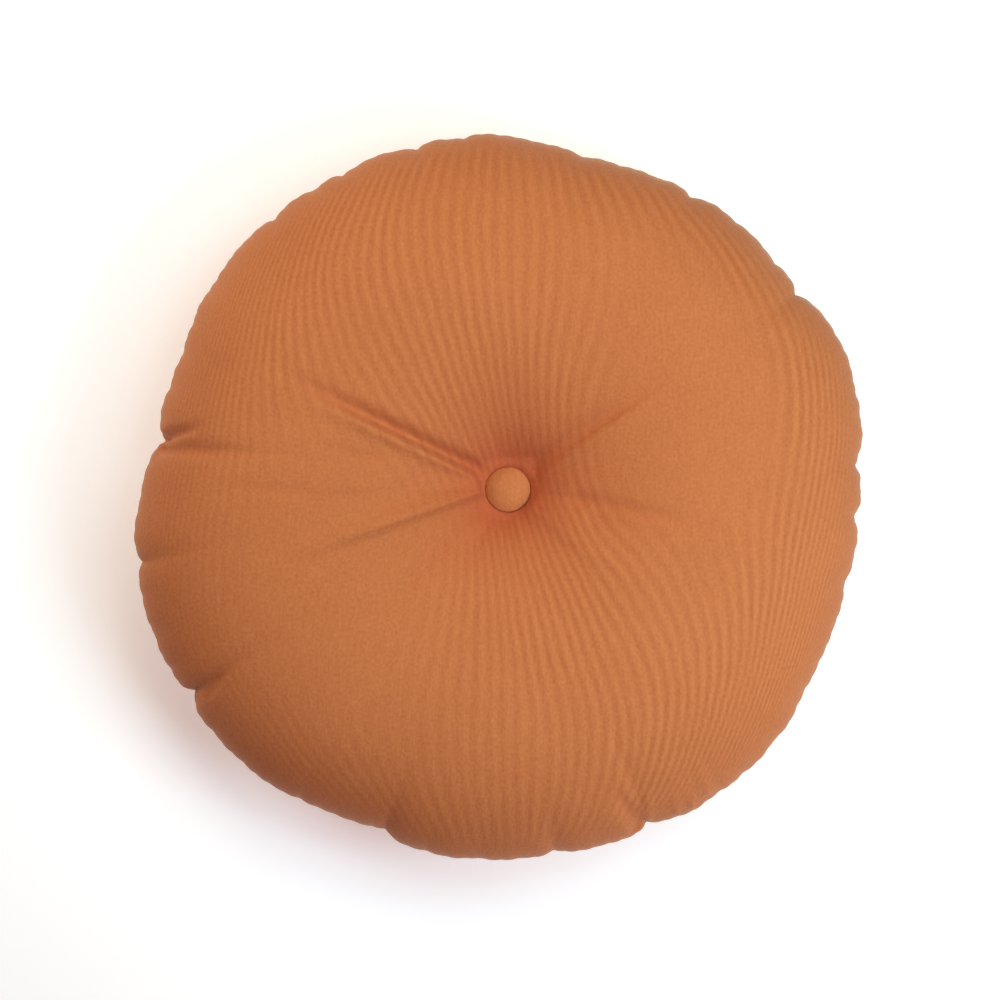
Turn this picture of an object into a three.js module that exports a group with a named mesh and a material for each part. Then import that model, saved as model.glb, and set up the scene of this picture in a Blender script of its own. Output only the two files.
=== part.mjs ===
// A round throw pillow: two discs of cloth sewn face to face into a knife edge, turned, filled, and
// drawn in by a covered button in the middle of each face. It lies on its back with its face up.
// Millimetres, +Z up. The origin is under the middle of its outline, on the surface it lies on.
import * as THREE from "three";

// Driving dimensions. Every angle is in degrees, anticlockwise from +X, seen from above.
const SEAM_HEIGHT = 50; // from the surface up to the edge seam
const FACE_RISE = 80; // how far the filling alone would lift a face off the seam
const CROWN_SHAPE = 4; // higher keeps the crown level for longer
const EDGE_SHAPE = 0.6; // lower makes the edge rounder
const TWINE_PULL = 28; // how far the button's twine draws a face down, for each e-fold of radius
const TUFT_SOFT = 14; // the radius within which that pull lets go
const FLAT_BLEND = 3; // height over which the underside bends into its flat

const BUTTON = { radius: 12.5, height: 7.2, edge: 2.6, edgeTurn: 140, x: 5, y: 3.4 };
const POCKET = { gap: 0.45, under: 0.3, wall: 3.2, lip: 0.9 }; // the tuck of cloth round a button
const MEAN_RADIUS = 203;

// How finely the round forms are stepped.
const COLUMNS = 200;
const BUTTON_STEPS = { round: 40, edge: 5, face: 4 };

// The outline between the gathers, as the seam's distance from the middle.
const OUTLINE = [
  { at: 0, radius: 204 },
  { at: 22, radius: 210.3 },
  { at: 38, radius: 204.6 },
  { at: 54, radius: 203.4 },
  { at: 71, radius: 197.6 },
  { at: 84, radius: 199.8 },
  { at: 92, radius: 203.4 },
  { at: 112, radius: 202.4 },
  { at: 133, radius: 202 },
  { at: 146, radius: 199.8 },
  { at: 158, radius: 194.8 },
  { at: 178, radius: 200 },
  { at: 188, radius: 206.9 },
  { at: 205, radius: 209 },
  { at: 222, radius: 208 },
  { at: 234, radius: 206 },
  { at: 246, radius: 200.4 },
  { at: 258, radius: 204.4 },
  { at: 272, radius: 204.6 },
  { at: 288, radius: 205.2 },
  { at: 304, radius: 208.6 },
  { at: 320, radius: 207.2 },
  { at: 336, radius: 202.2 },
];

// The gathers that notch the outline: depth at the seam, degrees that each flank takes, and how far
// the valley runs in over the faces.
const GATHERS = [
  { at: 4.8, depth: 5.2, before: 1.7, after: 2, reach: 20 },
  { at: 16, depth: 1.6, before: 1.2, after: 1.4, reach: 12 },
  { at: 34.2, depth: 5.2, before: 1.7, after: 1.5, reach: 22 },
  { at: 40, depth: 1.7, before: 1.6, after: 1.4, reach: 12 },
  { at: 57.5, depth: 3, before: 2.2, after: 1.3, reach: 16 },
  { at: 76, depth: 2.2, before: 1.8, after: 1.6, reach: 14 },
  { at: 95.5, depth: 2.2, before: 1.3, after: 2.6, reach: 14 },
  { at: 103.3, depth: 4, before: 1.3, after: 1.2, reach: 20 },
  { at: 116, depth: 2.6, before: 1.3, after: 1.3, reach: 14 },
  { at: 120.5, depth: 2, before: 1.2, after: 1.8, reach: 12 },
  { at: 129.2, depth: 2.8, before: 1.8, after: 1.3, reach: 16 },
  { at: 143, depth: 1.5, before: 2.4, after: 1.6, reach: 12 },
  { at: 170.8, depth: 6.4, before: 1.7, after: 1.6, reach: 34 },
  { at: 190.6, depth: 4.2, before: 1.6, after: 1.6, reach: 22 },
  { at: 212.7, depth: 6.8, before: 1.4, after: 1.3, reach: 30 },
  { at: 236.5, depth: 1.8, before: 1.8, after: 2.4, reach: 14 },
  { at: 251.1, depth: 4.4, before: 1.8, after: 1.6, reach: 22 },
  { at: 278.8, depth: 3.6, before: 1.6, after: 1.5, reach: 18 },
  { at: 294.2, depth: 5.6, before: 1.1, after: 3, reach: 30 },
  { at: 307, depth: 1.7, before: 1.6, after: 1.4, reach: 12 },
  { at: 328, depth: 1.6, before: 2.2, after: 1.8, reach: 12 },
  { at: 346, depth: 2.4, before: 2, after: 1.6, reach: 16 },
  { at: 356.8, depth: 4, before: 1.7, after: 1.5, reach: 20 },
];
// The small gathers between those, and how unevenly they are spaced and pulled.
const SCALLOPS = { count: 54, depth: 1.1, reach: 10, pull: 0.65 };
const SCALLOP_SPACING = [
  { turns: 2, size: 1.5, shift: 34 },
  { turns: 5, size: 0.9, shift: 0 },
];
const SCALLOP_PULL = [{ turns: 7, size: 0.35, shift: 57 }];
// The seam's rise and fall round the pillow.
const SEAM_WAVES = [
  { turns: 2, size: 1.6, shift: 46 },
  { turns: 3, size: 1.1, shift: 120 },
  { turns: 7, size: 0.7, shift: 0 },
];
const SEAM_WAVES_FADE = 4; // higher keeps them closer to the seam
const SHIFT_FADE = 2; // higher keeps the rows centred on the button, not the outline, for longer

// Creases that the button pulls into the cloth, in polar sizes about it: the angle where one starts
// and where it ends, how far out it runs, and the ridge pushed up beside it, anticlockwise or not.
const FACE_CREASES = [
  { start: 162, end: 153, from: 17, to: 158, depth: 4.2, width: 4.6, ridge: 2.2, side: 1 },
  { start: 37, end: 36, from: 18, to: 112, depth: 2.6, width: 4.4, ridge: 1.4, side: -1 },
  { start: 204, end: 197, from: 18, to: 128, depth: 2.4, width: 4.6, ridge: 1, side: 1 },
  { start: 68, end: 67, from: 16, to: 96, depth: 2.2, width: 9, ridge: 0, side: 1 },
  { start: 111, end: 113, from: 16, to: 92, depth: 2, width: 8, ridge: 0, side: 1 },
  { start: 352, end: 349, from: 30, to: 116, depth: 1.6, width: 4.6, ridge: 0.8, side: -1 },
  { start: 341, end: 344, from: 44, to: 108, depth: 1.2, width: 4.4, ridge: 0.6, side: -1 },
  { start: 290, end: 290, from: 18, to: 62, depth: 1.4, width: 4.4, ridge: 0, side: 1 },
  { start: 320, end: 319, from: 18, to: 70, depth: 1.2, width: 4.2, ridge: 0, side: 1 },
  { start: 181, end: 180, from: 104, to: 160, depth: 1.2, width: 5, ridge: 0.4, side: 1 },
  { start: 219, end: 225, from: 40, to: 112, depth: 1.3, width: 6, ridge: 0, side: 1 },
];
const BACK_CREASES = [
  { start: 20, end: 24, from: 18, to: 66, depth: 2.2, width: 5.5, ridge: 0, side: 1 },
  { start: 76, end: 74, from: 18, to: 84, depth: 2.8, width: 5.5, ridge: 0, side: 1 },
  { start: 128, end: 132, from: 18, to: 70, depth: 2.2, width: 5.5, ridge: 0, side: 1 },
  { start: 196, end: 192, from: 18, to: 88, depth: 2.6, width: 5.5, ridge: 0, side: 1 },
  { start: 252, end: 256, from: 18, to: 68, depth: 2.2, width: 5.5, ridge: 0, side: 1 },
  { start: 310, end: 308, from: 18, to: 80, depth: 2.6, width: 5.5, ridge: 0, side: 1 },
];
// A crease's own shape: where its ridge lies and how wide it is, in widths of the valley, and the
// shares of its length where it has sunk in and where it starts to run out.
const CREASE = { ridgeAt: 1.9, ridgeWidth: 1.2, sunk: 0.2, fading: 0.45, spread: 60 };

const FACES = {
  front: { up: 1, creases: FACE_CREASES },
  back: { up: -1, creases: BACK_CREASES },
};

// Rows of points, as shares of the way from the button's middle to the seam.
const POCKET_FLOOR = (BUTTON.radius + POCKET.gap) / MEAN_RADIUS;
const POCKET_LIP = (BUTTON.radius + POCKET.gap + POCKET.lip) / MEAN_RADIUS;
const FRONT_ROWS = [0.1, 0.145, 0.21, 0.29, 0.38, 0.48, 0.58, 0.68, 0.77, 0.85, 0.91, 0.955, 0.985];
const BACK_ROWS = [0.12, 0.19, 0.28, 0.4, 0.53, 0.65, 0.77, 0.87, 0.95];
const SEAM = 1;
const SLOPE_STEP = 0.002; // the share over which a slope is measured

const radians = THREE.MathUtils.degToRad;
const degrees = THREE.MathUtils.radToDeg;
const { clamp, euclideanModulo, smoothstep } = THREE.MathUtils;

// The degrees from one direction to another, the short way round.
function turn(from, to) {
  return euclideanModulo(to - from + 180, 360) - 180;
}

// The height of a table of waves in a direction.
function waves(table, angle) {
  return table.reduce((sum, w) => sum + w.size * Math.sin(radians(w.turns * angle + w.shift)), 0);
}

// The seam's distance in a direction, on a smooth closed curve through the outline's rows.
function outline(angle) {
  const row = OUTLINE.findLastIndex(({ at }) => at <= angle);
  const near = [-1, 0, 1, 2].map((step) => OUTLINE.at((row + step) % OUTLINE.length));
  const [before, left, right, after] = near;
  const span = euclideanModulo(right.at - left.at, 360);
  const leftSlope = (right.radius - before.radius) / euclideanModulo(right.at - before.at, 360);
  const rightSlope = (after.radius - left.radius) / euclideanModulo(after.at - left.at, 360);
  const t = (angle - left.at) / span;
  const ease = t * t * (3 - 2 * t);
  const level = left.radius + (right.radius - left.radius) * ease;
  return level + span * t * (1 - t) * ((1 - t) * leftSlope - t * rightSlope);
}

// How deep the gathers press into the cloth, that many millimetres in from the seam.
function gathering(angle, inset) {
  const notches = GATHERS.reduce((sum, gather) => {
    const away = turn(gather.at, angle);
    const flank = away < 0 ? gather.before : gather.after;
    return sum + gather.depth * Math.exp(-Math.abs(away) / flank - inset / gather.reach);
  }, 0);
  const phase = radians((SCALLOPS.count / 2) * angle) + waves(SCALLOP_SPACING, angle);
  const pull = SCALLOPS.depth * (SCALLOPS.pull + waves(SCALLOP_PULL, angle));
  return notches + pull * (1 - Math.abs(Math.cos(phase))) * Math.exp(-inset / SCALLOPS.reach);
}

// How far the creases lift the cloth at a point given about the button. Below 0 is a valley.
function creasing(creases, x, y) {
  const reach = Math.hypot(x, y);
  const heading = degrees(Math.atan2(y, x));
  return creases.reduce((sum, crease) => {
    const along = clamp((reach - crease.from) / (crease.to - crease.from), 0, 1);
    const away = turn(crease.start + (crease.end - crease.start) * along, heading);
    if (Math.abs(away) > CREASE.spread) return sum;
    const across = (reach * Math.sin(radians(away))) / crease.width;
    const beside = (across - crease.side * CREASE.ridgeAt) / CREASE.ridgeWidth;
    const strength = smoothstep(along, 0, CREASE.sunk) * (1 - smoothstep(along, CREASE.fading, 1));
    const shape = crease.ridge * Math.exp(-beside * beside) - crease.depth * Math.exp(-across * across);
    return sum + strength * shape;
  }, 0);
}

// A face's height over the seam before any fold, at a share of the way out from the button.
function rise(share) {
  const reach = clamp(share, POCKET_LIP, SEAM);
  const filled = FACE_RISE * (1 - reach ** CROWN_SHAPE) ** EDGE_SHAPE;
  const soft = TUFT_SOFT / MEAN_RADIUS;
  const drawn = filled + TWINE_PULL * Math.log(Math.hypot(reach, soft) / Math.hypot(1, soft));
  return share > POCKET_FLOOR ? drawn : drawn - POCKET.wall;
}

// The way that a face's cloth looks there, as its parts outward and up.
function facing(share) {
  if (share === SEAM) return { out: 1, up: 0 };
  const inner = Math.max(share - SLOPE_STEP, POCKET_LIP);
  const outer = Math.min(share + SLOPE_STEP, SEAM);
  const run = (outer - inner) * MEAN_RADIUS;
  const fall = rise(inner) - rise(outer);
  const length = Math.hypot(run, fall);
  return { out: fall / length, up: run / length };
}

// Bends the underside into the flat that it rests on.
function rested(height) {
  const near = Math.max(FLAT_BLEND - Math.abs(height), 0);
  return Math.max(height, 0) + (near * near) / (4 * FLAT_BLEND);
}

// How far the cloth stands off its smooth form at a spot: creases by the button, gathers by the seam.
function fold(face, share, angle, spot) {
  if (share <= POCKET_LIP) return 0;
  const inset = (SEAM - share) * MEAN_RADIUS;
  return creasing(face.creases, spot.x - BUTTON.x, spot.y - BUTTON.y) - gathering(angle, inset);
}

// A point of the cloth, from its face, its share of the way out and its direction.
function clothPoint(face, share, angle) {
  const shifted = share ** SHIFT_FADE;
  const radius = share * (MEAN_RADIUS + (outline(angle) - MEAN_RADIUS) * shifted);
  const out = new THREE.Vector2(Math.cos(radians(angle)), Math.sin(radians(angle)));
  const spot = new THREE.Vector2(BUTTON.x, BUTTON.y).multiplyScalar(1 - shifted);
  spot.addScaledVector(out, radius);
  const way = facing(share);
  const off = fold(face, share, angle, spot);
  const level = SEAM_HEIGHT + waves(SEAM_WAVES, angle) * share ** SEAM_WAVES_FADE;
  const height = level + face.up * (rise(share) + way.up * off);
  spot.addScaledVector(out, way.out * off);
  return new THREE.Vector3(spot.x, spot.y, face.up < 0 ? rested(height) : height);
}

// The directions of the columns of points, each drawn to a gather where one is near, so that every
// notch has a column at its bottom.
function columnAngles() {
  const step = 360 / COLUMNS;
  return Array.from({ length: COLUMNS }, (_, i) => {
    const gather = GATHERS.find(({ at }) => Math.abs(turn(at, i * step)) < step / 2);
    return gather ? gather.at : i * step;
  });
}

// The filled cushion: a lathe's grid, from the middle of the underside out to the seam and back in
// over the face, with each of its points then laid where the cloth is.
function cushionGeometry() {
  const tuck = [0, POCKET_FLOOR, POCKET_LIP];
  const rows = [
    ...[...tuck, ...BACK_ROWS].map((share) => ({ face: FACES.back, share })),
    { face: FACES.front, share: SEAM },
    ...[...tuck, ...FRONT_ROWS].reverse().map((share) => ({ face: FACES.front, share })),
  ];
  const profile = rows.map(({ face, share }) => new THREE.Vector2(share, face.up * (SEAM - share)));
  const geometry = new THREE.LatheGeometry(profile, COLUMNS);
  const positions = geometry.getAttribute("position");
  const angles = columnAngles();
  for (let i = 0; i < positions.count; i++) {
    const { face, share } = rows[i % rows.length];
    const point = clothPoint(face, share, angles[Math.floor(i / rows.length) % COLUMNS]);
    positions.setXYZ(i, point.x, point.y, point.z);
  }
  geometry.computeVertexNormals();
  return geometry;
}

// A covered button: a flat underside, a turned edge and a domed face.
function buttonGeometry() {
  const { radius, height, edge, edgeTurn } = BUTTON;
  const turned = new THREE.Path();
  turned.absarc(radius - edge, edge, edge, radians(-90), radians(edgeTurn - 90));
  const shoulder = turned.getPoint(1);
  const domed = new THREE.QuadraticBezierCurve(
    shoulder,
    new THREE.Vector2(shoulder.x / 2, height),
    new THREE.Vector2(0, height),
  );
  const edgePoints = turned.getPoints(BUTTON_STEPS.edge);
  const facePoints = domed.getPoints(BUTTON_STEPS.face).slice(1);
  const profile = [new THREE.Vector2(0, 0), ...edgePoints, ...facePoints];
  return new THREE.LatheGeometry(profile, BUTTON_STEPS.round).rotateX(Math.PI / 2);
}

function cloth(color) {
  return new THREE.MeshStandardMaterial({ color, roughness: 0.9, metalness: 0 });
}

function button(side, face) {
  const piece = new THREE.Mesh(buttonGeometry(), cloth("#c9794a"));
  piece.name = `button_${side}`;
  piece.position.set(BUTTON.x, BUTTON.y, SEAM_HEIGHT + face.up * (rise(0) + POCKET.under));
  piece.rotation.x = face.up > 0 ? 0 : Math.PI;
  return piece;
}

function pillow() {
  const cushion = new THREE.Mesh(cushionGeometry(), cloth("#c4744a"));
  cushion.name = "cushion";
  const whole = new THREE.Group();
  whole.add(cushion, button("front", FACES.front), button("back", FACES.back));
  const middle = new THREE.Box3().setFromObject(cushion).getCenter(new THREE.Vector3());
  whole.position.set(-middle.x, -middle.y, 0);
  return whole;
}

export default pillow();
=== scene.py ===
"""A round throw pillow, dressed over its solids.

Two discs of brushed cloth meet in a gathered knife edge, filled, and drawn in by a covered button on each
face. The cushion is one fine mesh, laid row by row from the front button over the seam to the back one. The
cloth's own sizes are in millimetres, and turn into metres when a mesh is made.
"""

import logging
import math
from dataclasses import dataclass
from enum import Enum
from typing import NamedTuple

import bpy
import numpy as np
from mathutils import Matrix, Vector


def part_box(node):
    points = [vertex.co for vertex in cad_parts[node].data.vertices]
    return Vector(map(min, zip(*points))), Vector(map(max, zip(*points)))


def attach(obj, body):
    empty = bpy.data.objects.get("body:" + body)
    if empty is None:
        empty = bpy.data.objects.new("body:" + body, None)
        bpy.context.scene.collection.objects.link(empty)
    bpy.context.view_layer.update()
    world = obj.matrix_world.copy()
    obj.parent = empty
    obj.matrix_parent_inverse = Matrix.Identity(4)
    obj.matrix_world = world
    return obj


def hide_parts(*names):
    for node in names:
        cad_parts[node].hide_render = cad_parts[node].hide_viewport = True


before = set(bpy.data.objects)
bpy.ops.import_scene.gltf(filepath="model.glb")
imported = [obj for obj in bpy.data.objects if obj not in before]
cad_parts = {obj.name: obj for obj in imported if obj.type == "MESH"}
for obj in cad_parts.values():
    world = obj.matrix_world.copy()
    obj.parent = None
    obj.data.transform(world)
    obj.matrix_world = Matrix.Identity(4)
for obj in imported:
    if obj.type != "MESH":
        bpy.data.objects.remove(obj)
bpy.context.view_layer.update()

MM = 0.001
FULL_TURN = 360.0
log = logging.getLogger("pillow")


class Side(Enum):
    """The two faces of the pillow, by the way that they look."""

    FRONT = 1
    BACK = -1


class Reach(NamedTuple):
    """How far the seam lies from the middle in a direction."""

    at: float
    radius: float


class Gather(NamedTuple):
    """A pinch of the seam in both panels, with the degrees of its two flanks and how far in it runs."""

    at: float
    depth: float
    before: float
    after: float
    reach: float


class Fold(NamedTuple):
    """A straight ridge in the pulled cloth, or a valley where its height is below 0.

    It starts at the angle start and the distance near from the button's middle, is highest soon after, and
    has died away at the angle end and the distance far. Its two flanks, clockwise and anticlockwise of it,
    have a width each.
    """

    start: float
    end: float
    near: float
    far: float
    height: float
    before: float
    after: float


class Wave(NamedTuple):
    """One sine wave round the pillow, with its shift in degrees."""

    turns: int
    size: float
    shift: float


class Spacing(NamedTuple):
    """How far apart the rows of one face may lie, and how much they widen with each millimetre."""

    widest: float
    widening: float


# The outline between the gathers.
OUTLINE = (
    Reach(0, 204),
    Reach(22, 210.3),
    Reach(38, 204.6),
    Reach(54, 203.4),
    Reach(71, 197.6),
    Reach(84, 199.8),
    Reach(92, 203.4),
    Reach(112, 202.4),
    Reach(133, 202),
    Reach(146, 199.8),
    Reach(158, 194.8),
    Reach(178, 200),
    Reach(188, 206.9),
    Reach(205, 209),
    Reach(222, 208),
    Reach(234, 206),
    Reach(246, 200.4),
    Reach(258, 204.4),
    Reach(272, 204.6),
    Reach(288, 205.2),
    Reach(304, 208.6),
    Reach(320, 207.2),
    Reach(336, 202.2),
)
GATHERS = (
    Gather(4.8, 5.2, 1.7, 2, 20),
    Gather(16, 1.6, 1.2, 1.4, 12),
    Gather(34.2, 5.2, 1.7, 1.5, 22),
    Gather(40, 1.7, 1.6, 1.4, 12),
    Gather(57.5, 3, 2.2, 1.3, 16),
    Gather(76, 2.2, 1.8, 1.6, 14),
    Gather(95.5, 2.2, 1.3, 2.6, 14),
    Gather(103.3, 4, 1.3, 1.2, 20),
    Gather(116, 2.6, 1.3, 1.3, 14),
    Gather(120.5, 2, 1.2, 1.8, 12),
    Gather(129.2, 2.8, 1.8, 1.3, 16),
    Gather(143, 1.5, 2.4, 1.6, 12),
    Gather(170.8, 8.4, 1.7, 1.8, 32),
    Gather(190.6, 4.2, 1.6, 1.6, 22),
    Gather(212.7, 6.8, 1.4, 1.3, 30),
    Gather(236.5, 1.8, 1.8, 2.4, 14),
    Gather(251.1, 4.4, 1.8, 1.6, 22),
    Gather(278.8, 3.6, 1.6, 1.5, 18),
    Gather(294.2, 5.6, 1.1, 3, 30),
    Gather(307, 1.7, 1.6, 1.4, 12),
    Gather(328, 1.6, 2.2, 1.8, 12),
    Gather(346, 2.4, 2, 1.6, 16),
    Gather(356.8, 4, 1.7, 1.5, 20),
)
FOLDS = {
    Side.FRONT: (
        Fold(148, 152.8, 12, 158, -5.2, 4.8, 3),
        Fold(158, 155.8, 14, 138, 3.2, 3, 4.4),
        Fold(36, 35.4, 13, 122, -3.2, 3.4, 7),
        Fold(31, 32.2, 16, 112, 1.4, 5, 3.4),
        Fold(177, 197.4, 12, 132, 4.8, 6.5, 3.6),
        Fold(90, 92, 11, 96, -1.8, 16, 16),
        Fold(240, 238, 11, 70, -1.6, 12, 12),
        Fold(324, 323, 12, 92, 1.9, 6, 9),
        Fold(351.5, 349.2, 32, 132, -2, 4.4, 5),
        Fold(341, 344, 44, 108, -1, 4.2, 4.2),
        Fold(167, 167, 70, 118, -0.9, 3, 4),
        Fold(182, 182, 70, 118, -0.9, 3, 4),
        Fold(181, 180, 104, 160, -1.1, 4.5, 3),
        Fold(219, 225, 40, 112, -1.2, 6, 6),
        Fold(171.8, 167.6, 202, 166, -3.6, 2.4, 2.6),
        Fold(172.7, 170.2, 202, 166, 1.8, 1.6, 1.6),
        Fold(173.6, 171.8, 200, 134, -3.2, 2.2, 3),
        Fold(214.5, 212.6, 205, 182, -1.6, 2, 3),
        Fold(291.6, 289.6, 205, 170, -2.6, 5, 2.6),
        Fold(292.6, 295, 204, 180, 1.6, 1.8, 2.4),
        Fold(297.4, 299, 206, 188, 1, 1.4, 1.6),
        Fold(300, 301.5, 206, 190, 1, 1.4, 1.6),
        Fold(303, 305, 204, 178, 1.2, 2.4, 3),
    ),
    Side.BACK: (
        Fold(20, 24, 18, 66, -2.2, 5.5, 5.5),
        Fold(76, 74, 18, 84, -2.8, 5.5, 5.5),
        Fold(128, 132, 18, 70, -2.2, 5.5, 5.5),
        Fold(196, 192, 18, 88, -2.6, 5.5, 5.5),
        Fold(252, 256, 18, 68, -2.2, 5.5, 5.5),
        Fold(310, 308, 18, 80, -2.6, 5.5, 5.5),
    ),
}
# The shares of a fold's length over which it rises to its full height, and from which it fades.
FOLD_START = 0.07
FOLD_FADE = 0.38
PUCKERS = (Wave(13, 0.12, 20), Wave(19, 0.1, 75), Wave(29, 0.08, 130))
SCALLOP_SPACING = (Wave(2, 1.5, 34), Wave(5, 0.9, 0))
SCALLOP_PULL = (Wave(7, 0.35, 57),)
SEAM_WAVES = (Wave(2, 1.6, 46), Wave(3, 1.1, 120), Wave(7, 0.7, 0))
# The face that shows has the closer rows.
SPACINGS = {Side.FRONT: Spacing(2.5, 0.09), Side.BACK: Spacing(5, 0.18)}
# A Mix node has an A and a B for each kind of value, so the sockets of its colours go by their places.
MIX_FIRST = 6
MIX_SECOND = 7
MIX_RESULT = 2


def total(waves: tuple[Wave, ...], angles: np.ndarray) -> np.ndarray:
    """The sum of these waves in these directions."""
    return sum(wave.size * np.sin(np.radians(wave.turns * angles + wave.shift)) for wave in waves)


def turn(start: float, angles: np.ndarray) -> np.ndarray:
    """The degrees from a direction to each of these, the short way round."""
    return (angles - start + FULL_TURN / 2) % FULL_TURN - FULL_TURN / 2


def ease(amount: np.ndarray, start: float, end: float) -> np.ndarray:
    """A smooth step from 0 at start to 1 at end."""
    t = np.clip((amount - start) / (end - start), 0, 1)
    return t * t * (3 - 2 * t)


def sided(away: np.ndarray, before: float, after: float) -> np.ndarray:
    """How far off its line a point is, in the widths of the flank that it is on."""
    return away / np.where(away < 0, before, after)


def place(angle: float, reach: float) -> np.ndarray:
    """The place that far out in a direction."""
    return np.array([math.cos(math.radians(angle)), math.sin(math.radians(angle))]) * reach


def places_round(angles: np.ndarray, reach: np.ndarray | float) -> np.ndarray:
    """The places that far out in these directions, which are in radians."""
    return np.stack([np.cos(angles), np.sin(angles)], 1) * reach


def smooth_round(rows: tuple[Reach, ...], angles: np.ndarray) -> np.ndarray:
    """Reads a smooth closed curve through rows that go round the pillow.

    Args:
        rows: The curve's rows, in order.
        angles: The directions to read it in.

    Returns:
        The curve's distance from the middle in each direction.
    """
    at, size = np.array(rows, float).T
    left = np.searchsorted(at, angles % FULL_TURN, side="right") - 1
    right = (left + 1) % len(rows)
    slopes = (np.roll(size, -1) - np.roll(size, 1)) / ((np.roll(at, -1) - np.roll(at, 1)) % FULL_TURN)
    span = (at[right] - at[left]) % FULL_TURN
    t = ((angles - at[left]) % FULL_TURN) / span
    level = size[left] + (size[right] - size[left]) * t * t * (3 - 2 * t)
    return level + span * t * (1 - t) * ((1 - t) * slopes[left] - t * slopes[right])


@dataclass(frozen=True)
class Form:
    """The cushion's form: a height and a place for every point of its cloth, in millimetres.

    A point is named by its side, its share of the way from the button's middle out to the seam, and its
    direction in degrees. The tuft is the button's place from the middle of the outline, and the cloth's
    pocket round the button lies off it by its shift. The two powers say how soon the outline and the
    seam's waves fade on the way in.
    """

    seam_height: float = 50
    face_rise: float = 80
    crown_shape: float = 4
    edge_shape: float = 0.6
    twine_pull: float = 28
    tuft_soft: float = 14
    flat_blend: float = 3
    mean_radius: float = 203
    tuft: tuple[float, float] = (5, 3.4)
    pocket_lip: float = 12.8
    pocket_floor: float = 11.4
    pocket_wall: float = 3.1
    pocket_shift: tuple[float, float] = (0.16, -0.16)
    pocket_blend: float = 4
    pucker_peak: float = 24
    pucker_end: float = 62
    # Painted shade darkens and reddens the cloth in the tuft and in the folds' valleys. These give how far
    # out from the pocket it fades, how deep a valley must be to get all of it, and the share that valleys
    # get.
    painted_shade_reach: float = 20
    painted_shade_depth: float = 3
    painted_shade_fold: float = 0.25
    seam_tuck: float = 1.2
    seam_tuck_reach: float = 1.8
    scallops: int = 54
    scallop_depth: float = 1.1
    scallop_pull: float = 0.65
    scallop_reach: float = 10
    crimps: int = 142
    crimp_depth: float = 0.5
    crimp_reach: float = 3
    crimp_wander: float = 2
    outline_power: int = 2
    seam_wave_power: int = 4
    profile_step: float = 0.0005
    profile_points: int = 4001

    def rise(self, share: np.ndarray) -> np.ndarray:
        """A smooth face's height over the seam at these shares of the way out."""
        lip = self.pocket_lip / self.mean_radius
        soft = self.tuft_soft / self.mean_radius
        reach = np.clip(share, lip, 1)
        filled = self.face_rise * (1 - reach**self.crown_shape) ** self.edge_shape
        drawn = self.twine_pull * np.log(np.hypot(reach, soft) / math.hypot(1, soft))
        wall = self.pocket_wall * (1 - ease(share, self.pocket_floor / self.mean_radius, lip))
        return filled + drawn - wall

    def facing(self, share: np.ndarray) -> tuple[np.ndarray, np.ndarray]:
        """The way that the smooth cloth looks, as its parts outward and up."""
        inner = np.clip(share - self.profile_step, 0, 1)
        outer = np.clip(share + self.profile_step, 0, 1)
        run = (outer - inner) * self.mean_radius
        fall = self.rise(inner) - self.rise(outer)
        length = np.hypot(run, fall)
        return fall / length, run / length

    def laid_flat(self) -> tuple[np.ndarray, np.ndarray]:
        """Shares of the way out, and how far from its middle the cloth of each lies in the flat disc."""
        share = 1 - np.linspace(1, 0, self.profile_points) ** 2
        steps = np.hypot(np.diff(share) * self.mean_radius, np.diff(self.rise(share)))
        return share, np.concatenate([[0], np.cumsum(steps)])

    def gathering(self, angles: np.ndarray, inset: np.ndarray) -> np.ndarray:
        """How deep the gathers press into the cloth, that far in from the seam."""
        deep = np.zeros(np.broadcast(angles, inset).shape)
        for gather in GATHERS:
            away = np.abs(sided(turn(gather.at, angles), gather.before, gather.after))
            deep += gather.depth * np.exp(-away - inset / gather.reach)
        uneven = total(SCALLOP_SPACING, angles)
        scalloped = np.radians(self.scallops / 2 * angles) + uneven
        crimped = np.radians(self.crimps / 2 * angles) + self.crimp_wander * uneven
        pull = self.scallop_depth * (self.scallop_pull + total(SCALLOP_PULL, angles))
        fine = self.crimp_depth * (1 - np.abs(np.cos(crimped))) * np.exp(-inset / self.crimp_reach)
        return deep + fine + pull * (1 - np.abs(np.cos(scalloped))) * np.exp(-inset / self.scallop_reach)

    def folding(self, side: Side, x: np.ndarray, y: np.ndarray) -> np.ndarray:
        """How far the folds lift the cloth at places given about the button."""
        lift = np.zeros(x.shape)
        for fold in FOLDS[side]:
            first = place(fold.start, fold.near)
            run = place(fold.end, fold.far) - first
            length = math.hypot(*run)
            along = ((x - first[0]) * run[0] + (y - first[1]) * run[1]) / length**2
            across = ((y - first[1]) * run[0] - (x - first[0]) * run[1]) / length
            outward = 1 if fold.far > fold.near else -1
            strength = ease(along, 0, FOLD_START) * (1 - ease(along, FOLD_FADE, 1))
            off = sided(outward * across, fold.before, fold.after)
            lift += fold.height * strength * np.exp(-(off**2))
        return lift

    def puckering(self, x: np.ndarray, y: np.ndarray) -> np.ndarray:
        """How far the small pleats round the button lift the cloth at places given about the button."""
        reach = np.hypot(x, y)
        grown = ease(reach, self.pocket_lip, self.pucker_peak)
        fading = 1 - ease(reach, self.pucker_peak, self.pucker_end)
        return grown * fading * total(PUCKERS, np.degrees(np.arctan2(y, x)))

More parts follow.
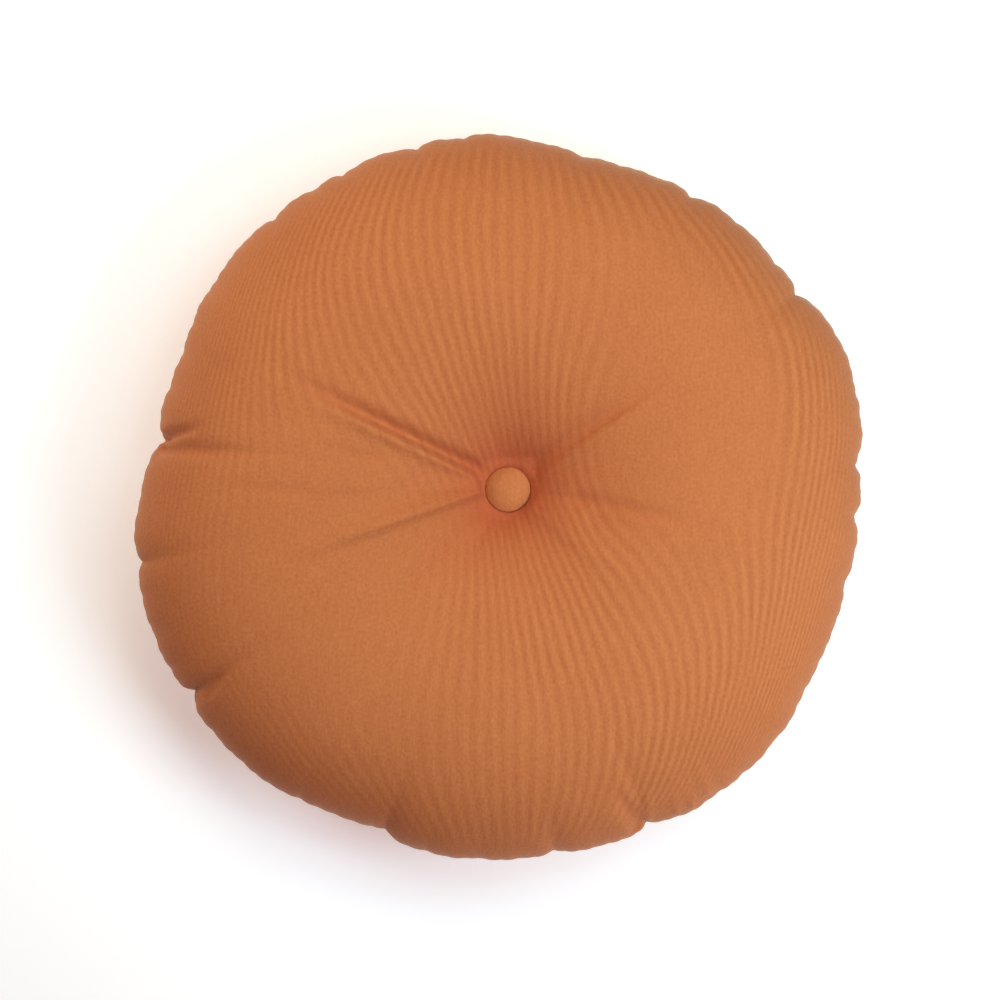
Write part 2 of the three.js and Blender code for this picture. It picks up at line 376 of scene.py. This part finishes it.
    def painted_shade(self, side: Side, places: np.ndarray) -> np.ndarray:
        """How much painted shade the cloth gets at these places, from 0 to 1: it is deepest in the tuft and
        in the folds' valleys.
        """
        x, y = places[:, 0] - self.tuft[0], places[:, 1] - self.tuft[1]
        tuft_shade = np.exp((self.pocket_lip - np.hypot(x, y)) / self.painted_shade_reach)
        valley_shade = np.clip(-self.folding(side, x, y) / self.painted_shade_depth, 0, 1)
        return np.clip(tuft_shade + self.painted_shade_fold * valley_shade, 0, 1)

    def rested(self, height: np.ndarray) -> np.ndarray:
        """Bends the underside into the flat that it rests on."""
        near = np.maximum(self.flat_blend - np.abs(height), 0)
        return np.maximum(height, 0) + near * near / (4 * self.flat_blend)

    def points(self, side: Side, share: np.ndarray, angles: np.ndarray) -> np.ndarray:
        """Lays points of the cloth where the pillow has them.

        Args:
            side: The face that they are on.
            share: Their shares of the way out, in an array that goes with angles.
            angles: Their directions.

        Returns:
            Their places, with x, y and z last.
        """
        shifted = share**self.outline_power
        radius = share * (self.mean_radius + (smooth_round(OUTLINE, angles) - self.mean_radius) * shifted)
        ex, ey = np.cos(np.radians(angles)), np.sin(np.radians(angles))
        x = (self.tuft[0] + self.pocket_shift[0]) * (1 - shifted) + radius * ex
        y = (self.tuft[1] + self.pocket_shift[1]) * (1 - shifted) + radius * ey
        inset = (1 - share) * self.mean_radius
        clear = ease(share * self.mean_radius, self.pocket_lip, self.pocket_lip + self.pocket_blend)
        spot = (x - self.tuft[0], y - self.tuft[1])
        off = clear * (self.folding(side, *spot) + self.puckering(*spot) - self.gathering(angles, inset))
        out, up = self.facing(share)
        shares, flat = self.laid_flat()
        tuck = self.seam_tuck * np.exp((np.interp(share, shares, flat) - flat[-1]) / self.seam_tuck_reach)
        level = self.seam_height + total(SEAM_WAVES, angles) * share**self.seam_wave_power
        height = level + side.value * (self.rise(share) + up * off)
        if side is Side.BACK:
            height = self.rested(height)
        return np.stack([x + (out * off - tuck) * ex, y + (out * off - tuck) * ey, height], axis=-1)


@dataclass
class Socket:
    """A node's output that takes part in arithmetic: each operator adds a Math node to its tree."""

    board: "Board"
    end: bpy.types.NodeSocket

    def math(self, operation: str, *others: "Socket | float") -> "Socket":
        """Adds a Math node that takes this socket first and the others after it."""
        return self.board.add("ShaderNodeMath", {"operation": operation}, dict(enumerate((self, *others))))

    def __add__(self, other: "Socket | float") -> "Socket":
        """The sum with a socket or a number."""
        return self.math("ADD", other)

    def __sub__(self, other: "Socket | float") -> "Socket":
        """What is left when a socket or a number is taken away."""
        return self.math("SUBTRACT", other)

    def __rsub__(self, other: float) -> "Socket":
        """What is left of a number when this socket is taken away."""
        return self.math("MULTIPLY_ADD", -1.0, other)

    def __mul__(self, other: "Socket | float") -> "Socket":
        """The product with a socket or a number."""
        return self.math("MULTIPLY", other)

    __radd__ = __add__
    __rmul__ = __mul__


@dataclass
class Board:
    """A material's node tree, and the one way that nodes are added to it."""

    tree: bpy.types.NodeTree

    def add(self, kind: str, settings: dict, inputs: dict, output: int | str = 0) -> Socket:
        """Adds a node.

        Args:
            kind: The node's type, such as ShaderNodeTexNoise.
            settings: Its own properties, which are set before its sockets.
            inputs: A number, a tuple or a Socket for each input that is used, by its name or place.
            output: The output that the result stands for, by its name or place.

        Returns:
            The chosen output.
        """
        node = self.tree.nodes.new(kind)
        for name, value in settings.items():
            setattr(node, name, value)
        for name, value in inputs.items():
            if isinstance(value, Socket):
                self.tree.links.new(value.end, node.inputs[name])
            else:
                node.inputs[name].default_value = value
        return Socket(self, node.outputs[output] if node.outputs else None)

    def mix(self, amount: Socket, first: Socket | tuple, second: Socket | tuple) -> Socket:
        """Mixes two colours: the first where the amount is 0, the second where it is 1."""
        inputs = {"Factor": amount, MIX_FIRST: first, MIX_SECOND: second}
        return self.add("ShaderNodeMix", {"data_type": "RGBA"}, inputs, MIX_RESULT)

    def point_value(self, name: str) -> Socket:
        """Reads a number that the mesh holds for each of its points."""
        return self.add("ShaderNodeAttribute", {"attribute_name": name}, {}, "Fac")


def make_piece(name: str, places: np.ndarray, faces: list[tuple], flat: np.ndarray) -> bpy.types.Object:
    """Makes a smooth piece of cloth.

    Args:
        name: The piece's name.
        places: Its points in metres.
        faces: Its faces, as the numbers of their corners.
        flat: Where each point lies when the cloth is spread flat, in metres.

    Returns:
        The piece, with a UV map of the flat cloth.
    """
    mesh = bpy.data.meshes.new(name)
    mesh.from_pydata(places.tolist(), [], [tuple(map(int, face)) for face in faces])
    corners = np.empty(len(mesh.loops), int)
    mesh.loops.foreach_get("vertex_index", corners)
    mesh.uv_layers.new(name="cloth").uv.foreach_set("vector", flat[corners].astype(np.float32).ravel())
    mesh.polygons.foreach_set("use_smooth", np.ones(len(mesh.polygons), bool))
    mesh.update()
    piece = bpy.data.objects.new(name, mesh)
    bpy.context.scene.collection.objects.link(piece)
    return piece


def dress_piece(piece: bpy.types.Object, node: str, finish: "BrushedCloth") -> None:
    """Gives a piece its cloth and ties it to its node of the frame."""
    piece.data.materials.append(finish.material())
    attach(piece, "root")
    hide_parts(node)


@dataclass(frozen=True)
class BrushedCloth:
    """Brushed cotton in a fine rib weave, with a soft nap that lightens where it is seen edge on, and with
    shade painted into its colour in the tuft and the folds' valleys.

    A noise has a size, its grains in a metre across and along the ribs, and a share of the cloth's tone,
    which goes from dark at 0 to light at 1. A height is a share of the relief.
    """

    name: str
    light: tuple[float, float, float, float] = (0.55, 0.182, 0.057, 1)
    dark: tuple[float, float, float, float] = (0.41, 0.117, 0.033, 1)
    # Painted shade: the cloth is mixed toward this darker, redder colour in the tuft and in the folds'
    # valleys, by at most this share.
    deep: tuple[float, float, float, float] = (0.45, 0.074, 0.027, 1)
    painted_shade_share: float = 0.64
    middle_tone: float = 0.55
    line_share: float = 0.5
    line_sway: float = 1.2
    sway_size: tuple[float, float, float] = (22, 12, 1)
    wander_size: tuple[float, float, float] = (60, 24, 1)
    streak_size: tuple[float, float, float] = (620, 90, 1)
    streak_share: float = 0.7
    streak_height: float = 0.6
    grain_size: tuple[float, float, float] = (560, 480, 1)
    grain_share: float = 1.3
    grain_height: float = 1.3
    patch_size: tuple[float, float, float] = (14, 14, 1)
    patch_share: float = 0.4
    rib: float = 1.1 * MM
    rib_height: float = 0.03
    weft: float = 0.8 * MM
    weft_height: float = 0.02
    relief: float = 0.25 * MM
    roughness: float = 0.85
    specular: float = 0.25
    nap: float = 0.32
    nap_roughness: float = 0.28
    nap_tint: tuple[float, float, float, float] = (0.85, 0.9, 0.72, 1)

    def noise(self, board: Board, spot: Socket, size: tuple, detail: float = 2.0) -> Socket:
        """Noise from 0 to 1, with so many grains in a metre across and along the ribs."""
        scaled = board.add("ShaderNodeVectorMath", {"operation": "MULTIPLY"}, {0: spot, 1: size})
        return board.add("ShaderNodeTexNoise", {}, {"Vector": scaled, "Scale": 1.0, "Detail": detail})

    def material(self) -> bpy.types.Material:
        """Mixes the cloth's colour, weave and nap."""
        made = bpy.data.materials.new(self.name)
        made.use_nodes = True
        made.node_tree.nodes.clear()
        board = Board(made.node_tree)
        spot = board.add("ShaderNodeUVMap", {"uv_map": "cloth"}, {})
        across = board.add("ShaderNodeSeparateXYZ", {}, {0: spot}, "X")
        along = board.add("ShaderNodeSeparateXYZ", {}, {0: spot}, "Y")
        lines = board.point_value("lines")
        strength = board.point_value("line_strength")
        painted_shade = board.point_value("painted_shade")
        wander = self.noise(board, spot, self.wander_size)
        sway = self.noise(board, spot, self.sway_size)
        streaks = self.noise(board, spot, self.streak_size, 3.0)
        grain = self.noise(board, spot, self.grain_size, 4.0)
        patches = self.noise(board, spot, self.patch_size)
        soft_line = ((lines + sway * self.line_sway) * math.tau).math("COSINE") * strength * wander
        tone = self.middle_tone + soft_line * self.line_share + (streaks - 0.5) * self.streak_share
        tone = tone + (grain - 0.5) * self.grain_share + (patches - 0.5) * self.patch_share
        brushed = board.mix(tone, self.dark, self.light)
        # Painted shade, darker and redder in the tuft and the folds' valleys.
        colour = board.mix(painted_shade * self.painted_shade_share, brushed, self.deep)
        ribs = (across * (math.tau / self.rib)).math("SINE")
        wefts = (along * (math.tau / self.weft)).math("SINE")
        height = ribs * self.rib_height + wefts * self.weft_height
        height = height + grain * self.grain_height + streaks * self.streak_height
        bump = board.add("ShaderNodeBump", {}, {"Strength": 1.0, "Distance": self.relief, "Height": height})
        shader = board.add(
            "ShaderNodeBsdfPrincipled",
            {},
            {
                "Base Color": colour,
                "Roughness": self.roughness,
                "Specular IOR Level": self.specular,
                "Sheen Weight": self.nap,
                "Sheen Roughness": self.nap_roughness,
                "Sheen Tint": self.nap_tint,
                "Normal": bump,
            },
        )
        board.add("ShaderNodeOutputMaterial", {}, {"Surface": shader})
        return made


class Ring(NamedTuple):
    """One row of the cushion's points: its face, its share of the way out, and how many points it has."""

    side: Side
    share: float
    count: int


@dataclass
class Cushion:
    """The filled cushion: two panels of cloth, the gathered seam between them and a tuck at each button.

    Its rows have counts of points that double where they pass out of the inner zone and into the rim's.
    """

    form: Form
    origin: Vector
    counts: tuple[int, int, int] = (240, 480, 960)
    inner_zone: float = 34
    rim_zone: float = 24
    first_ring: float = 4
    finest: float = 0.45
    drawn_lines: tuple[float, float] = (14, 4)
    drawn_reach: float = 54
    even_lines: float = 0.016
    rim_lines: float = 0.1
    rim_crowding: int = 6
    side_lean: float = 0.14
    lean_power: int = 4
    crowded_lines: tuple[float, float] = (0.06, 0.17)
    rim_fade: tuple[float, float] = (0.9, 0.98)
    faint_side: float = 205
    faint_spread: float = 42
    faintness: float = 0.7

    def rings(self, side: Side) -> list[Ring]:
        """The rings of one face, from under its button out to the last before the seam."""
        shares, flat = self.form.laid_flat()
        lip = float(np.interp(self.form.pocket_lip / self.form.mean_radius, shares, flat))
        end = float(flat[-1])
        widest, widening = SPACINGS[side]
        inner, middle, rim = self.counts
        rings = []
        at = self.first_ring
        while at < end - self.finest / 2:
            count = inner if at < self.inner_zone else rim if end - at < self.rim_zone else middle
            rings.append(Ring(side, float(np.interp(at, flat, shares)), count))
            at += min(self.finest + widening * min(abs(at - lip), end - at), widest)
        return rings

    def lines(self, places: np.ndarray) -> np.ndarray:
        """How many of the cloth's soft lines lie between its middle and these places.

        They run up and down the cloth, fan out from the button that draws them in, crowd together where
        the cloth falls to the seam, and lean over at the pillow's two sides.
        """
        x, y = places[:, 0] - self.form.tuft[0], places[:, 1] - self.form.tuft[1]
        reach = np.hypot(x, y)
        fanned = (self.drawn_lines[0] * x + self.drawn_lines[1] * y) / np.hypot(reach, self.drawn_reach)
        crowded = self.even_lines + self.rim_lines * (reach / self.form.mean_radius) ** self.rim_crowding
        sideways = (x / self.form.mean_radius) ** self.lean_power
        return fanned + x * crowded - y * self.side_lean * sideways

    def line_strength(self, places: np.ndarray, share: np.ndarray, angles: np.ndarray) -> np.ndarray:
        """How clear the soft lines are: clearest where they crowd together, and lost by the seam.

        Args:
            places: The points that it is wanted for.
            share: Their shares of the way out.
            angles: Their directions.

        Returns:
            The strength of the lines at each point, from 0 to 1.
        """
        steps = [self.lines(places + step) - self.lines(places) for step in ((1, 0, 0), (0, 1, 0))]
        clear = ease(np.hypot(*steps), *self.crowded_lines) * (1 - ease(share, *self.rim_fade))
        faint = np.exp(-((turn(self.faint_side, angles) / self.faint_spread) ** 2))
        return clear * (1 - self.faintness * faint)

    @staticmethod
    def strip(a: int, b: int, count_a: int, count_b: int) -> list[tuple[int, ...]]:
        """Joins two rings with faces.

        Args:
            a: The first point of the ring that comes first.
            b: The first point of the next one.
            count_a: How many points the first has.
            count_b: How many the next one has: as many, twice as many or half as many.

        Returns:
            The faces, as the numbers of their corners.
        """
        few = min(count_a, count_b)
        now = np.arange(few)
        then = (now + 1) % few
        if count_a == count_b:
            return list(zip(a + now, b + now, b + then, a + then))
        twice, between, next_twice = 2 * now, 2 * now + 1, 2 * then
        if count_b > count_a:
            return [
                *zip(a + now, b + twice, b + between),
                *zip(a + now, b + between, a + then),
                *zip(a + then, b + between, b + next_twice),
            ]
        return [
            *zip(a + twice, b + now, a + between),
            *zip(a + between, b + now, b + then),
            *zip(a + between, b + then, a + next_twice),
        ]

    def build(self) -> bpy.types.Object:
        """Makes the cushion's mesh, with its flat cloth as a UV map, its soft lines, and the painted shade
        of its tuft and valleys.
        """
        seam = Ring(Side.FRONT, 1.0, self.counts[2])
        rings = [*self.rings(Side.FRONT), seam, *reversed(self.rings(Side.BACK))]
        shares, flat = self.form.laid_flat()
        points, cloth, lines, strengths, painted_shades, faces = [], [], [], [], [], []
        first = 1
        for ring, after in zip(rings, [*rings[1:], None]):
            angles = np.arange(ring.count) * (FULL_TURN / ring.count)
            share = np.full(ring.count, ring.share)
            points.append(self.form.points(ring.side, share, angles))
            cloth.append(places_round(np.radians(angles), np.interp(share, shares, flat)[:, None]))
            lines.append(self.lines(points[-1]))
            strengths.append(self.line_strength(points[-1], share, angles))
            painted_shades.append(self.form.painted_shade(ring.side, points[-1]))
            if after:
                faces += self.strip(first, first + ring.count, ring.count, after.count)
                first += ring.count
        ends = [self.form.points(side, np.zeros(1), np.zeros(1)) for side in Side]
        last = first + rings[-1].count
        around = np.arange(self.counts[0])
        onward = (around + 1) % self.counts[0]
        faces += zip(np.zeros(len(around), int), 1 + around, 1 + onward)
        faces += zip(np.full(len(around), last), first + onward, first + around)
        places = np.concatenate([ends[0], *points, ends[1]]) * MM + np.array(self.origin)
        spots = np.concatenate([np.zeros((1, 2)), *cloth, np.zeros((1, 2))]) * MM
        piece = make_piece("cushion_cloth", places, faces, spots)
        # The painted shade of the tuft and the valleys is kept for each point, beside the soft lines.
        held = {"lines": (0, lines), "line_strength": (1, strengths), "painted_shade": (1, painted_shades)}
        for name, (middle, values) in held.items():
            spread = np.concatenate([[middle], *values, [middle]]).astype(np.float32)
            piece.data.attributes.new(name, "FLOAT", "POINT").data.foreach_set("value", spread)
        return piece

    def dress(self, finish: BrushedCloth) -> bpy.types.Object:
        """Builds the cushion, gives it its cloth and ties it to the frame."""
        piece = self.build()
        dress_piece(piece, "cushion", finish)
        return piece


@dataclass
class CoveredButton:
    """A domed button mould with cloth drawn over it and pleated under its edge."""

    name: str
    node: str
    side: Side
    low: Vector
    high: Vector
    edge: float = 1.7
    edge_turn: float = 140
    edge_rings: int = 14
    face_rings: int = 26
    count: int = 192
    pleats: int = 17
    pleat_depth: float = 0.22
    pleat_rise: float = 1.6

    def profile(self) -> list[tuple[float, float]]:
        """Radius and height of each ring in millimetres, from under the edge to near the middle."""
        radius = (self.high.x - self.low.x) / 2 / MM
        height = (self.high.z - self.low.z) / MM
        rows = []
        for i in range(self.edge_rings + 1):
            turned = math.radians(-90 + self.edge_turn * i / self.edge_rings)
            out = radius - self.edge + self.edge * math.cos(turned)
            rows.append((out, self.edge * (1 + math.sin(turned))))
        shoulder, start = rows[-1]
        slope = math.tan(math.radians(180 - self.edge_turn)) * shoulder
        rise = height - start
        for i in range(1, self.face_rings):
            t = 1 - i / self.face_rings
            bulge = rise * (1 - t * t) + (slope / 2 - rise) * t * t * (1 - t * t)
            rows.append((shoulder * t, start + bulge))
        return rows

    def build(self) -> bpy.types.Object:
        """Makes the button's mesh and sets it where its solid is."""
        angles = np.arange(self.count) * (math.tau / self.count)
        rows = self.profile()
        points, spots = [], []
        for radius, height in rows:
            low = max(0.0, 1 - height / (self.pleat_rise * self.edge))
            pleated = radius - self.pleat_depth * low * (0.5 + 0.5 * np.sin(self.pleats * angles))
            level = np.full(self.count, height)
            points.append(np.column_stack([places_round(angles, pleated[:, None]), level]))
            reach = radius if height > self.edge else 2 * rows[self.edge_rings // 2][0] - radius
            spots.append(places_round(angles, reach))
        last = 1 + (len(rows) - 1) * self.count
        faces = []
        for i in range(len(rows) - 1):
            faces += Cushion.strip(1 + (i + 1) * self.count, 1 + i * self.count, self.count, self.count)
        around = np.arange(self.count)
        onward = (around + 1) % self.count
        faces += zip(np.full(self.count, last + self.count), last + around, last + onward)
        faces += zip(np.zeros(self.count, int), 1 + onward, 1 + around)
        top = (self.high.z - self.low.z) / MM
        places = np.concatenate([[[0, 0, 0]], *points, [[0, 0, top]]]) * MM
        middle = (self.low + self.high) / 2
        if self.side is Side.BACK:
            places = places * (1, -1, -1)
        places += (middle.x, middle.y, self.low.z if self.side is Side.FRONT else self.high.z)
        return make_piece(self.name, places, faces, np.concatenate([[[0, 0]], *spots, [[0, 0]]]) * MM)

    def dress(self, finish: BrushedCloth) -> bpy.types.Object:
        """Builds the button, gives it its cloth and ties it to the frame."""
        piece = self.build()
        dress_piece(piece, self.node, finish)
        return piece


class Lamp(NamedTuple):
    """A soft box: the direction and height that it shines from, its distance, width, power and colour."""

    name: str
    azimuth: float
    elevation: float
    distance: float
    width: float
    power: float
    colour: tuple[float, float, float]


@dataclass
class Studio:
    """A pale floor, soft boxes round the pillow and a camera straight above it.

    Sizes are in metres here, but for the camera's sensor, which is in millimetres. The picture's own size
    and the place in it of the outline's middle are in pixels, and a pixel is what it spans at the seam.
    """

    lamps: tuple[Lamp, ...] = (
        Lamp("key_box", 330, 50, 0.95, 0.5, 5.4, (0.72, 0.85, 1)),
        Lamp("high_box", 45, 70, 0.95, 0.5, 2.8, (0.83, 0.95, 1)),
        Lamp("right_box", 0, 50, 0.95, 0.5, 1.5, (0.75, 1, 0.88)),
        Lamp("top_box", 105, 50, 0.95, 0.5, 2.3, (1, 0.86, 0.6)),
        Lamp("left_box", 150, 28, 0.95, 0.5, 2.9, (0.8, 0.94, 1)),
        Lamp("left_fill", 180, 22, 2.6, 1, 4, (1, 0.26, 0.25)),
        Lamp("front_fill", 300, 8, 2.6, 1, 6.3, (1, 0.42, 0.16)),
    )
    air: tuple[float, float, float, float] = (0.11, 0.04, 0.03, 1)
    floor_reach: float = 4
    floor_colour: tuple[float, float, float, float] = (0.82, 0.92, 0.93, 1)
    floor_roughness: float = 0.9
    floor_specular: float = 0.1
    glow_colour: tuple[float, float, float, float] = (1, 0.8, 0.72, 1)
    glow: float = 0.35
    sensor_width: float = 36
    photo_size: float = 1000
    pixel: float = 0.56 * MM
    pillow_pixel: tuple[float, float] = (498.2, 497)
    camera_height: float = 2.2

    def floor(self) -> bpy.types.Object:
        """The pale floor that the pillow lies on."""
        mesh = bpy.data.meshes.new("floor")
        corners = [(x, y, 0) for x, y in ((-1, -1), (1, -1), (1, 1), (-1, 1))]
        mesh.from_pydata([Vector(corner) * self.floor_reach for corner in corners], [], [(0, 1, 2, 3)])
        piece = bpy.data.objects.new("floor", mesh)
        bpy.context.scene.collection.objects.link(piece)
        made = bpy.data.materials.new("pale_floor")
        made.use_nodes = True
        looks = {
            "Base Color": self.floor_colour,
            "Roughness": self.floor_roughness,
            "Specular IOR Level": self.floor_specular,
            "Emission Color": self.glow_colour,
            "Emission Strength": self.glow,
        }
        for name, value in looks.items():
            made.node_tree.nodes["Principled BSDF"].inputs[name].default_value = value
        mesh.materials.append(made)
        return piece

    def hang(self, lamp: Lamp) -> None:
        """Hangs one soft box, aimed at the pillow."""
        data = bpy.data.lights.new(lamp.name, "AREA")
        data.shape = "DISK"
        data.size = lamp.width
        data.energy = lamp.power
        data.color = lamp.colour
        piece = bpy.data.objects.new(lamp.name, data)
        a, e = math.radians(lamp.azimuth), math.radians(lamp.elevation)
        way = Vector((math.cos(a) * math.cos(e), math.sin(a) * math.cos(e), math.sin(e)))
        piece.location = way * lamp.distance
        piece.rotation_euler = way.to_track_quat("Z", "Y").to_euler()
        bpy.context.scene.collection.objects.link(piece)

    def camera(self) -> None:
        """The camera, straight above, with the pillow at the size and place that it has in the picture."""
        data = bpy.data.cameras.new("camera")
        data.sensor_width = self.sensor_width
        seam = Form.seam_height * MM
        data.lens = self.sensor_width * (self.camera_height - seam) / (self.photo_size * self.pixel)
        piece = bpy.data.objects.new("camera", data)
        middle = self.photo_size / 2
        x = (middle - self.pillow_pixel[0]) * self.pixel
        y = (self.pillow_pixel[1] - middle) * self.pixel
        piece.location = (x, y, self.camera_height)
        bpy.context.scene.collection.objects.link(piece)
        bpy.context.scene.camera = piece

    def set_up(self) -> None:
        """Sets up the floor, the lights and the camera."""
        self.floor()
        for lamp in self.lamps:
            self.hang(lamp)
        self.camera()
        scene = bpy.context.scene
        scene.world = bpy.data.worlds.new("air")
        scene.world.use_nodes = True
        air = scene.world.node_tree.nodes["Background"]
        air.inputs["Color"].default_value = self.air
        air.inputs["Strength"].default_value = 1
        scene.view_settings.view_transform = "Standard"


def corners_of(node: str) -> tuple[Vector, Vector]:
    """A node's lowest and highest corners."""
    low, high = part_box(node)
    return Vector(low), Vector(high)


def main() -> None:
    """Builds the pillow and its studio, and reports each piece."""
    logging.basicConfig(level=logging.INFO, format="%(message)s")
    Studio().set_up()
    low, high = corners_of("button_front")
    form = Form()
    middle = (low + high) / 2
    origin = Vector((middle.x - form.tuft[0] * MM, middle.y - form.tuft[1] * MM, 0))
    cloth = BrushedCloth("cover_cloth")
    # The buttons' cloth is the cover's cloth painted a little lighter, a painted highlight for the light on
    # the button's face.
    button_cloth = BrushedCloth("button_cloth", light=(0.57, 0.193, 0.062, 1), dark=(0.44, 0.13, 0.038, 1))
    pieces = [Cushion(form, origin).dress(cloth)]
    for side in Side:
        node = f"button_{side.name.lower()}"
        pieces.append(CoveredButton(f"{node}_cover", node, side, *corners_of(node)).dress(button_cloth))
    for piece in pieces:
        log.info("%s: %d faces", piece.name, len(piece.data.polygons))


if __name__ == "__main__":
    main()
